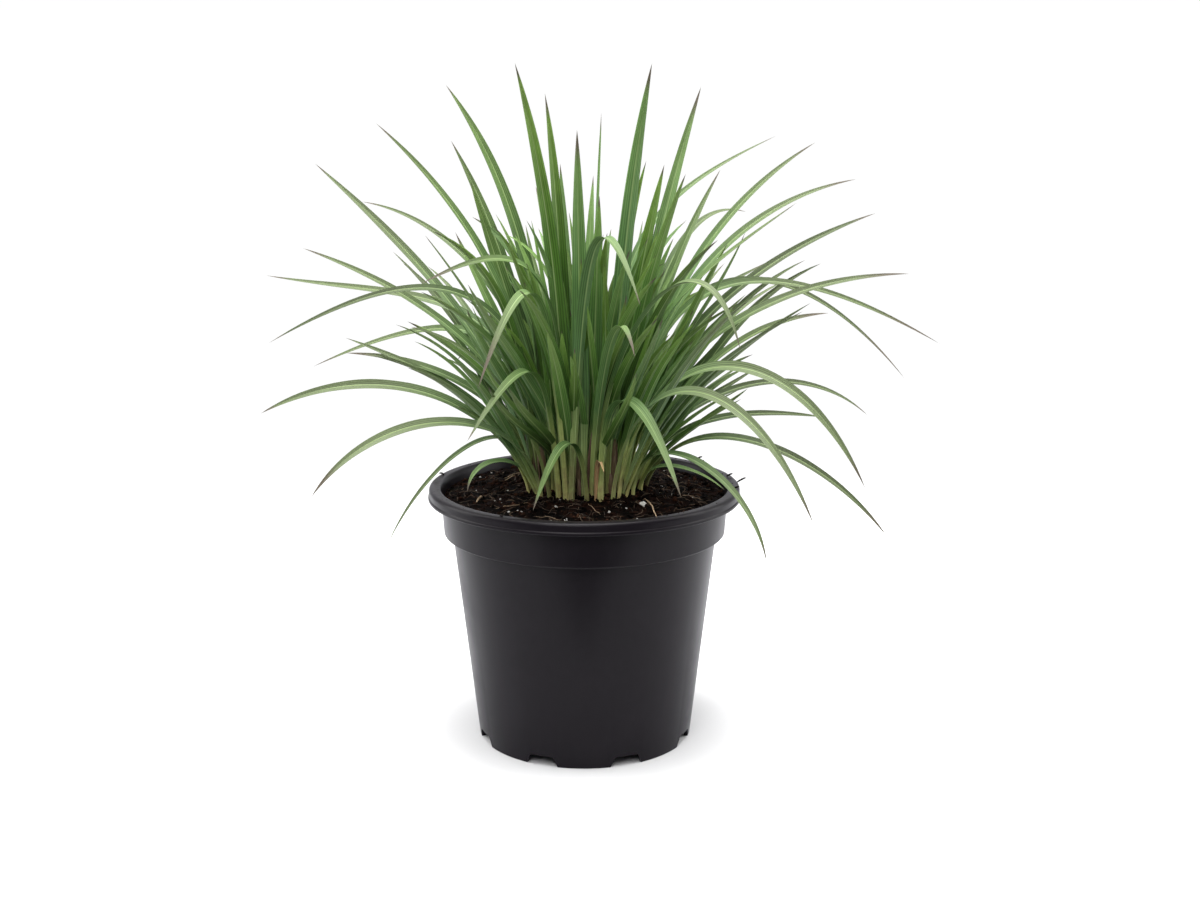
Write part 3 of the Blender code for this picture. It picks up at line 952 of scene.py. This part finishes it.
def young_leaves(finish):
    """Every small leaf of the middle, in place of the solid that reaches their tips."""
    dice = random.Random(7)
    rows = core_rows(dice) + filler_rows(dice) + flank_rows(dice) + short_rows(dice)
    shape = Shape(*BLADE_VALUES)
    for row, cell in zip(rows, layout_cells(len(rows))):
        dry = 0.5 * dice.choice(DRY_TIPS)
        add_blade(shape, row, 22, 7, dice.uniform(0, 99), dice.random(), dry, cell)
    make_piece("young_leaf_blades", shape, finish, "young_leaves", "young_leaf_tuft", sharp=60)


def crown_sheaths(finish):
    """Dry and purplish husks that stand close against the foot of each shoot."""
    dice = random.Random(19)
    shape = Shape(*BLADE_VALUES)
    for i, cell in enumerate(layout_cells(SHEATHS)):
        azimuth = SHOOT_TURN * i + dice.uniform(-9, 9)
        root = dice.choice((19, 24, 29, 33)) + dice.uniform(-2.5, 1.5)
        height = dice.uniform(16, 52) * dice.uniform(0.6, 1.0)
        lean = dice.uniform(0, 12)
        reach = root + height * math.tan(math.radians(lean)) * 0.7
        turn = azimuth + dice.uniform(-5, 5)
        width = dice.uniform(3.0, 5.4)
        twist = dice.uniform(-30, 30)
        row = (root, azimuth, turn, reach, height, lean * 0.4, lean * 1.6, 1.0, width, twist)
        add_blade(shape, row, 14, 7, dice.uniform(0, 99), dice.random(), 0.3, cell)
    make_piece("crown_sheaths", shape, finish, "dry_leaf_straw", sharp=60)


# Pot


def wall_radius(height):
    """The outer radius of the pot's tapered body at a height below the step."""
    return FOOT_RADIUS + (BODY_TOP_RADIUS - FOOT_RADIUS) * height / STEP_HEIGHT


def pot_outline():
    """(radius, height, fillet) from the middle of the underside, round the outside to the floor."""
    roll_foot = POT_HEIGHT - RIM_ROLL_HEIGHT
    floor = FLOOR_UNDERSIDE + FLOOR_THICKNESS
    return (
        (0, FLOOR_UNDERSIDE, 0),
        (wall_radius(FLOOR_UNDERSIDE) - 2.4, FLOOR_UNDERSIDE, 0.8),
        (FOOT_RADIUS - 2.6, 0, 0.5),
        (FOOT_RADIUS, 0, 0.6),
        (BODY_TOP_RADIUS, STEP_HEIGHT - 0.6, 1.6),
        (COLLAR_FOOT_RADIUS, STEP_HEIGHT, 0.9),
        (COLLAR_TOP_RADIUS, roll_foot, 1.4),
        (RIM_RADIUS, roll_foot + 0.1, 0.9),
        (RIM_RADIUS, roll_foot + 1.8, 0.5),
        (RIM_RADIUS - 0.55, roll_foot + 2.4, 0.4),
        (RIM_RADIUS - 0.55, POT_HEIGHT, 2.6),
        (RIM_RADIUS - 7.4, POT_HEIGHT - 0.1, 1.1),
        (RIM_RADIUS - 8.6, POT_HEIGHT - 2.6, 1.2),
        (COLLAR_TOP_RADIUS - WALL, roll_foot - 1.0, 2.0),
        (COLLAR_FOOT_RADIUS - WALL, STEP_HEIGHT + 1.2, 0.8),
        (BODY_TOP_RADIUS - WALL, STEP_HEIGHT - 1.6, 0.8),
        (wall_radius(floor) - WALL, floor, 1.2),
        (0, floor, 0),
    )


def eased(outline, steps=5):
    """The outline as (radius, height) points, with each filleted corner drawn as a short curve."""
    made = []
    for i, (radius, height, fillet) in enumerate(outline):
        corner = Vector((radius, height))
        if not fillet:
            made.append(corner)
            continue
        before, after = (Vector(outline[j][:2]) - corner for j in (i - 1, i + 1))
        start = corner + before.normalized() * min(fillet, before.length * 0.45)
        end = corner + after.normalized() * min(fillet, after.length * 0.45)
        for step in range(steps + 1):
            share = step / steps
            rest = 1 - share
            made.append(start * rest**2 + corner * 2 * rest * share + end * share**2)
    return made


def band(low, high, sides):
    """The faces between two rings of points, from the first point of each ring."""
    return [(low + i, low + (i + 1) % sides, high + (i + 1) % sides, high + i) for i in range(sides)]


def turned(profile, sides):
    """Points and faces of a closed solid turned about Z, from a profile with both ends on the axis."""
    points = []
    for radius, height in profile[1:-1]:
        points += [polar(360 * i / sides, radius, height) for i in range(sides)]
    faces = []
    for ring in range(len(profile) - 3):
        faces += band(ring * sides, (ring + 1) * sides, sides)
    last = (len(profile) - 3) * sides
    middle = len(points)
    points += [Vector((0, 0, profile[0][1])), Vector((0, 0, profile[-1][1]))]
    for i in range(sides):
        j = (i + 1) % sides
        faces.append((middle, j, i))
        faces.append((middle + 1, last + i, last + j))
    return points, faces


def drain_cutter():
    """One wedge through the foot at each notch, and one round hole in the floor behind it."""
    build = bmesh.new()
    for i in range(NOTCHES):
        outward = polar(270 + (i + 0.5) * 360 / NOTCHES, 1, 0)
        across = Vector((-outward.y, outward.x, 0))
        ends = []
        for radius in (DRAIN_RING_RADIUS + 6, RIM_RADIUS):
            corners = (
                (-NOTCH_FOOT_WIDTH / 2, -1.0),
                (NOTCH_FOOT_WIDTH / 2, -1.0),
                (NOTCH_TOP_WIDTH / 2 + 0.8, NOTCH_HEIGHT - 0.9),
                (NOTCH_TOP_WIDTH / 2 - 0.6, NOTCH_HEIGHT),
                (-NOTCH_TOP_WIDTH / 2 + 0.6, NOTCH_HEIGHT),
                (-NOTCH_TOP_WIDTH / 2 - 0.8, NOTCH_HEIGHT - 0.9),
            )
            places = [outward * radius + across * side + Vector((0, 0, up)) for side, up in corners]
            ends.append([build.verts.new(place) for place in places])
        for k in range(len(corners)):
            m = (k + 1) % len(corners)
            build.faces.new((ends[0][k], ends[0][m], ends[1][m], ends[1][k]))
        build.faces.new(ends[0])
        build.faces.new(ends[1])
        hole = bmesh.ops.create_cone(
            build,
            cap_ends=True,
            segments=48,
            radius1=DRAIN_HOLE_RADIUS,
            radius2=DRAIN_HOLE_RADIUS,
            depth=8.0,
        )
        lift = outward * DRAIN_RING_RADIUS + Vector((0, 0, FLOOR_UNDERSIDE + FLOOR_THICKNESS / 2))
        bmesh.ops.translate(build, vec=lift, verts=hole["verts"])
    bmesh.ops.recalc_face_normals(build, faces=build.faces)
    bmesh.ops.scale(build, vec=(MM, MM, MM), verts=build.verts)
    mesh = bpy.data.meshes.new("drain_cutter")
    build.to_mesh(mesh)
    build.free()
    made = bpy.data.objects.new("drain_cutter", mesh)
    bpy.context.scene.collection.objects.link(made)
    return made


def fine_pot(finish):
    """The pot with its rolled rim, stepped collar, notched foot and drained floor."""
    shape = Shape()
    shape.add(*turned(eased(pot_outline()), POT_SIDES))
    pot = make_piece("pot_shell", shape, finish, "black_plastic", "pot", sharp=POT_SHARP)
    cutter = drain_cutter()
    cut = pot.modifiers.new("drain_openings", "BOOLEAN")
    cut.operation = "DIFFERENCE"
    cut.solver = "EXACT"
    cut.object = cutter
    whole = pot.evaluated_get(bpy.context.evaluated_depsgraph_get())
    mesh = bpy.data.meshes.new_from_object(whole)
    pot.modifiers.clear()
    pot.data = mesh
    mesh.set_sharp_from_angle(angle=math.radians(POT_SHARP))
    bpy.data.objects.remove(cutter)


# Soil


def soil_lumps(x, y):
    """How far the soil's surface stands above its even slope at (x, y)."""
    lumps = noise.noise((x / 17, y / 17, 3.0)) * 1.1
    lumps += noise.noise((x / 6, y / 6, 8.0)) * 1.0
    lumps += noise.noise((x / 2.2, y / 2.2, 5.0)) * 0.8
    heap = max(0.0, 1 - abs(math.hypot(x, y) - HEAP_RADIUS) / HEAP_WIDTH) * HEAP_HEIGHT
    return lumps - 0.35 + heap


def soil_top(x, y):
    """The height of the soil's surface at (x, y): level under the crown, lower at the wall."""
    share = max(0.0, (math.hypot(x, y) - CROWN_RADIUS) / (COLLAR_FOOT_RADIUS - CROWN_RADIUS))
    return CROWN_SOIL - (CROWN_SOIL - WALL_SOIL) * share + soil_lumps(x, y)


def fine_soil(finish):
    """The root ball: a lumpy top, and sides that stand just inside the pot's wall."""
    floor = FLOOR_UNDERSIDE + FLOOR_THICKNESS
    points, faces = [], []
    radii = [SOIL_STEP * k for k in range(1, int(SOIL_EDGE / SOIL_STEP))] + [SOIL_EDGE]
    for radius in radii:
        for i in range(SOIL_SIDES):
            place = polar(360 * i / SOIL_SIDES, radius, 0)
            points.append(Vector((place.x, place.y, soil_top(place.x, place.y))))
    wall = (
        (SOIL_EDGE - 1.4, STEP_HEIGHT + 1.6),
        (BODY_TOP_RADIUS - WALL - 0.6, STEP_HEIGHT - 1.8),
        (wall_radius(floor) - WALL - 0.6, floor + GAP),
    )
    for radius, height in wall:
        points += [polar(360 * i / SOIL_SIDES, radius, height) for i in range(SOIL_SIDES)]
    rings = len(radii) + len(wall)
    for ring in range(rings - 1):
        for i in range(SOIL_SIDES):
            j = (i + 1) % SOIL_SIDES
            near, far = ring * SOIL_SIDES, (ring + 1) * SOIL_SIDES
            faces.append((near + i, far + i, far + j, near + j))
    middle, last = len(points), (rings - 1) * SOIL_SIDES
    points += [Vector((0, 0, soil_top(0, 0))), Vector((0, 0, floor + GAP))]
    for i in range(SOIL_SIDES):
        j = (i + 1) % SOIL_SIDES
        faces.append((middle, i, j))
        faces.append((middle + 1, last + j, last + i))
    shape = Shape("tint")
    shape.add(points, faces, tint=[0.5 + 0.5 * noise.noise(point / 5) for point in points])
    make_piece("soil_bed", shape, finish, "potting_soil", "soil", sharp=180)


def ball(levels):
    """Points and faces of a unit ball of small triangles."""
    build = bmesh.new()
    bmesh.ops.create_icosphere(build, subdivisions=levels, radius=1.0)
    points = [vertex.co.copy() for vertex in build.verts]
    faces = [tuple(vertex.index for vertex in face.verts) for face in build.faces]
    build.free()
    return points, faces


def add_grain(shape, unit, place, sizes, dice, rough, tint):
    """A lump at a place: its three sizes, a random turn, and how rough it is."""
    points, faces = unit
    turn = Matrix.Rotation(dice.uniform(0, 6.3), 3, "Z") @ Matrix.Rotation(dice.uniform(-0.5, 0.5), 3, "X")
    shift = dice.uniform(0, 99)
    made = []
    for point in points:
        swell = 1 + rough * noise.noise(point * 1.3 + Vector((shift, 0, 0)))
        swell += rough * 0.6 * noise.noise(point * 3.1 + Vector((0, shift, 0)))
        swell += rough * 0.5 * (noise.cell(point * 1.7 + Vector((0, 0, shift))) - 0.5)
        made.append(place + turn @ Vector([side * size * swell for side, size in zip(point, sizes)]))
    shape.add(made, faces, tint=tint)


def soil_place(dice, nearest, farthest):
    """A random place on the soil, evenly spread between two distances from the axis."""
    share = dice.random()
    radius = math.sqrt(nearest**2 + (farthest**2 - nearest**2) * share)
    place = polar(dice.uniform(0, 360), radius, 0)
    return Vector((place.x, place.y, soil_top(place.x, place.y)))


def soil_crumbs(finish):
    """Loose crumbs all over the soil, and some heaped at the foot of the shoots."""
    dice = random.Random(3)
    for name, count, small, large, levels, nearest, farthest, heap in SOIL_CRUMBS:
        unit = ball(levels)
        shape = Shape("tint")
        for _ in range(count):
            place = soil_place(dice, nearest, farthest)
            size = small + (large - small) * dice.random() ** 2
            sizes = (size * dice.uniform(0.8, 1.5), size, size * dice.uniform(0.6, 1.0))
            place.z += size * dice.uniform(0.0, 0.6)
            inward = (farthest - math.hypot(place.x, place.y)) / (farthest - nearest)
            place.z += heap * inward * dice.random()
            limit = SOIL_EDGE + 0.2 - size * 1.3
            if math.hypot(place.x, place.y) > limit:
                scale = limit / math.hypot(place.x, place.y)
                place.x, place.y = place.x * scale, place.y * scale
            add_grain(shape, unit, place, sizes, dice, 0.75, dice.random())
        make_piece(name, shape, finish, "potting_soil", sharp=180)


def bark_slivers(finish):
    """Flat slivers of composted bark."""
    dice = random.Random(5)
    unit = ball(2)
    shape = Shape("tint")
    for _ in range(BARK_SLIVERS):
        place = soil_place(dice, nearest=25, farthest=80)
        length = dice.uniform(1.6, 4.2)
        place.z += 0.3
        add_grain(shape, unit, place, (length, length * 0.28, length * 0.16), dice, 0.5, dice.random())
    make_piece("bark_slivers", shape, finish, "potting_soil", sharp=180)


def perlite_grains(finish):
    """White grains: the placed ones, and loose ones all over."""
    dice = random.Random(8)
    unit = ball(3)
    shape = Shape("tint")
    grains = list(PLACED_PERLITE)
    for _ in range(LOOSE_PERLITE):
        radius = math.sqrt(dice.uniform(30**2, 83**2))
        grains.append((dice.uniform(0, 360), radius, 0.25 + 0.6 * dice.random() ** 2))
    for azimuth, radius, size in grains:
        place = polar(azimuth, radius, 0)
        place.z = soil_top(place.x, place.y) + size * 0.2
        sizes = (size * dice.uniform(0.9, 1.25), size, size * dice.uniform(0.7, 0.95))
        add_grain(shape, unit, place, sizes, dice, 0.55, dice.random())
    make_piece("perlite_grains", shape, finish, "potting_soil", sharp=180)


def add_strand(shape, places, thickness, tint, sides=5):
    """A thin round strand through the places, drawn to a point at both ends."""
    count = len(places)
    made, faces = [], []
    for i, place in enumerate(places):
        heading = (places[min(i + 1, count - 1)] - places[max(i - 1, 0)]).normalized()
        side = heading.cross(Vector((0, 0, 1)))
        side = side.normalized() if side.length > 0.1 else Vector((1, 0, 0))
        above = side.cross(heading)
        radius = thickness / 2 * (0.25 + 0.75 * math.sin(math.pi * (i + 0.5) / count) ** 0.4)
        for k in range(sides):
            turn = 2 * math.pi * k / sides
            made.append(place + (side * math.cos(turn) + above * math.sin(turn)) * radius)
    for i in range(count - 1):
        faces += band(i * sides, (i + 1) * sides, sides)
    faces.append(tuple(reversed(range(sides))))
    faces.append(tuple(range((count - 1) * sides, count * sides)))
    shape.add(made, faces, tint=tint)


def wandering(start, azimuth, length, dice, steps=9, curl=0.5):
    """Places along a fibre that lies on the soil and lifts here and there."""
    places = []
    turn = math.radians(azimuth)
    x, y = start.x, start.y
    rise = dice.uniform(0.3, 1.4)
    for step in range(steps):
        share = step / (steps - 1)
        lift = 0.25 + rise * math.sin(math.pi * share) * dice.uniform(0.7, 1.0)
        if math.hypot(x, y) > SOIL_EDGE - 1.0:
            break
        places.append(Vector((x, y, soil_top(x, y) + lift)))
        turn += dice.uniform(-curl, curl)
        x += math.cos(turn) * length / (steps - 1)
        y += math.sin(turn) * length / (steps - 1)
    return places


def soil_fibres(finish):
    """Fine roots and peat fibres that lie across the soil."""
    dice = random.Random(12)
    shape = Shape("tint")
    for _ in range(FIBRES):
        start = soil_place(dice, nearest=20, farthest=82)
        places = wandering(start, dice.uniform(0, 360), dice.uniform(3, 15), dice)
        if len(places) > 3:
            add_strand(shape, places, dice.uniform(0.16, 0.42), dice.random())
    make_piece("soil_fibres", shape, finish, "potting_soil", sharp=180)


def dry_threads(finish):
    """Longer dry stems on the soil."""
    dice = random.Random(23)
    shape = Shape("tint")
    for azimuth, radius, heading, length, thickness, tint in PLACED_STEMS:
        start = polar(azimuth, radius, 0)
        places = wandering(start, heading, length, dice, steps=12, curl=0.12)
        if len(places) > 3:
            add_strand(shape, places, thickness, tint, sides=8)
    make_piece("dry_threads", shape, finish, "dry_leaf_straw", sharp=180)


def rim_litter(finish):
    """A few dark root threads and specks caught on the rim."""
    dice = random.Random(31)
    shape = Shape("tint")
    unit = ball(2)
    for azimuth, radius, length, rise in RIM_THREADS:
        places = []
        turn = math.radians(azimuth - 60)
        spot = polar(azimuth, radius, POT_HEIGHT)
        for step in range(THREAD_STEPS + 1):
            share = step / THREAD_STEPS
            places.append(spot + Vector((0, 0, 0.1 + rise * math.sin(0.6 * math.pi * share))))
            turn += dice.uniform(0.1, 0.35)
            spot += Vector((math.cos(turn), math.sin(turn), 0)) * length / THREAD_STEPS
        add_strand(shape, places, THREAD_THICKNESS, 0.0)
    for _ in range(RIM_SPECKS):
        place = polar(dice.uniform(0, 360), dice.uniform(RIM_RADIUS - 6.0, RIM_RADIUS - 3.2), POT_HEIGHT)
        size = dice.uniform(0.2, 0.55)
        add_grain(shape, unit, place, (size * 1.3, size, size * 0.6), dice, 0.6, dice.random() * 0.3)
    make_piece("rim_litter", shape, finish, "potting_soil", sharp=180)


# Studio


def aimed(made, location, target):
    made.location = location * MM
    made.rotation_euler = ((target - location) * MM).to_track_quat("-Z", "Y").to_euler()


def soft_light(name, location, target, width, height, power):
    """A soft rectangular light: its place and target in millimetres, its sides in metres, its watts."""
    data = bpy.data.lights.new(name, "AREA")
    data.shape = "RECTANGLE"
    data.size = width
    data.size_y = height
    data.energy = power
    made = bpy.data.objects.new(name, data)
    bpy.context.scene.collection.objects.link(made)
    aimed(made, location, target)


def studio_floor():
    """A floor that bends up into a backdrop."""
    half, back, high, bend = 2600.0, 2300.0, 2200.0, 900.0
    outline = [(-1900.0, 0.0), (back - bend, 0.0)]
    for step in range(1, BEND_STEPS + 1):
        turn = math.radians(90 * step / BEND_STEPS)
        outline.append((back - bend + bend * math.sin(turn), bend - bend * math.cos(turn)))
    outline.append((back, high))
    points = [Vector((side * half, y, z)) * MM for y, z in outline for side in (-1, 1)]
    faces = [(2 * i, 2 * i + 1, 2 * i + 3, 2 * i + 2) for i in range(len(outline) - 1)]
    mesh = bpy.data.meshes.new("studio_floor")
    mesh.from_pydata(points, [], faces)
    mesh.shade_smooth()
    mesh.materials.append(floor_finish())
    floor = bpy.data.objects.new("studio_floor", mesh)
    bpy.context.scene.collection.objects.link(floor)


def studio_air():
    """Even white for the camera; darker in front of the pot and bright above for everything else."""
    world = bpy.data.worlds.new("studio_air")
    world.use_nodes = True
    nodes = Nodes(world.node_tree)
    background = world.node_tree.nodes["Background"]
    toward = nodes.split(nodes.new("ShaderNodeTexCoord").outputs["Generated"])
    sides = nodes.spread(toward["Y"], -0.70, 0.15)
    background_color = nodes.mix(sides, (0.10, 0.10, 0.11), (0.68, 0.68, 0.68))
    top = nodes.spread(toward["Z"], 0.25, 0.9)
    around = nodes.mix(top, background_color, (2.5, 2.5, 2.5))
    seen = nodes.new("ShaderNodeLightPath").outputs["Is Camera Ray"]
    nodes.feed(background.inputs["Color"], nodes.mix(seen, around, (2.2, 2.2, 2.2)))
    background.inputs["Strength"].default_value = 0.46
    bpy.context.scene.world = world


def studio():
    studio_floor()
    studio_air()
    for name, location, target, *rest in LIGHTS:
        soft_light(name, Vector(location), Vector(target), *rest)
    bpy.context.scene.view_settings.view_transform = "Standard"


def camera():
    data = bpy.data.cameras.new("camera")
    data.lens = CAMERA_LENS
    data.sensor_width = CAMERA_SENSOR
    data.clip_start = 0.02
    data.clip_end = 30.0
    made = bpy.data.objects.new("camera", data)
    made.location = Vector(CAMERA_PLACE) * MM
    made.rotation_euler = (math.radians(90 - CAMERA_DOWN), 0.0, 0.0)
    bpy.context.scene.collection.objects.link(made)
    bpy.context.scene.camera = made


def main():
    green = blade_finish("green_blades", GREEN)
    straw = blade_finish("straw_blades", STRAW, streak=0.3, pale_upper=0.4, gloss=0.6)
    husk = blade_finish("husk_blades", HUSK, streak=0.4, pale_upper=0.3, gloss=0.6)
    plastic = black_plastic_finish()
    peat = soil_finish("moist_peat", PEAT, 0.9)
    crumb = soil_finish("peat_crumbs", CRUMBS, 0.7)
    bark = soil_finish("bark_brown", BARK, 0.6)
    fibre = fibre_finish("root_fibre", (0.008, 0.005, 0.004), (0.120, 0.080, 0.050))
    thread = fibre_finish("dry_thread", (0.030, 0.020, 0.014), (0.420, 0.300, 0.190))

    fine_pot(plastic)
    fine_soil(peat)
    soil_crumbs(crumb)
    bark_slivers(bark)
    perlite_grains(perlite_finish())
    soil_fibres(fibre)
    dry_threads(thread)
    rim_litter(fibre)
    named_leaves({"green_leaf": green, "dry_leaf_straw": straw})
    young_leaves(green)
    crown_sheaths(husk)
    studio()
    camera()


main()
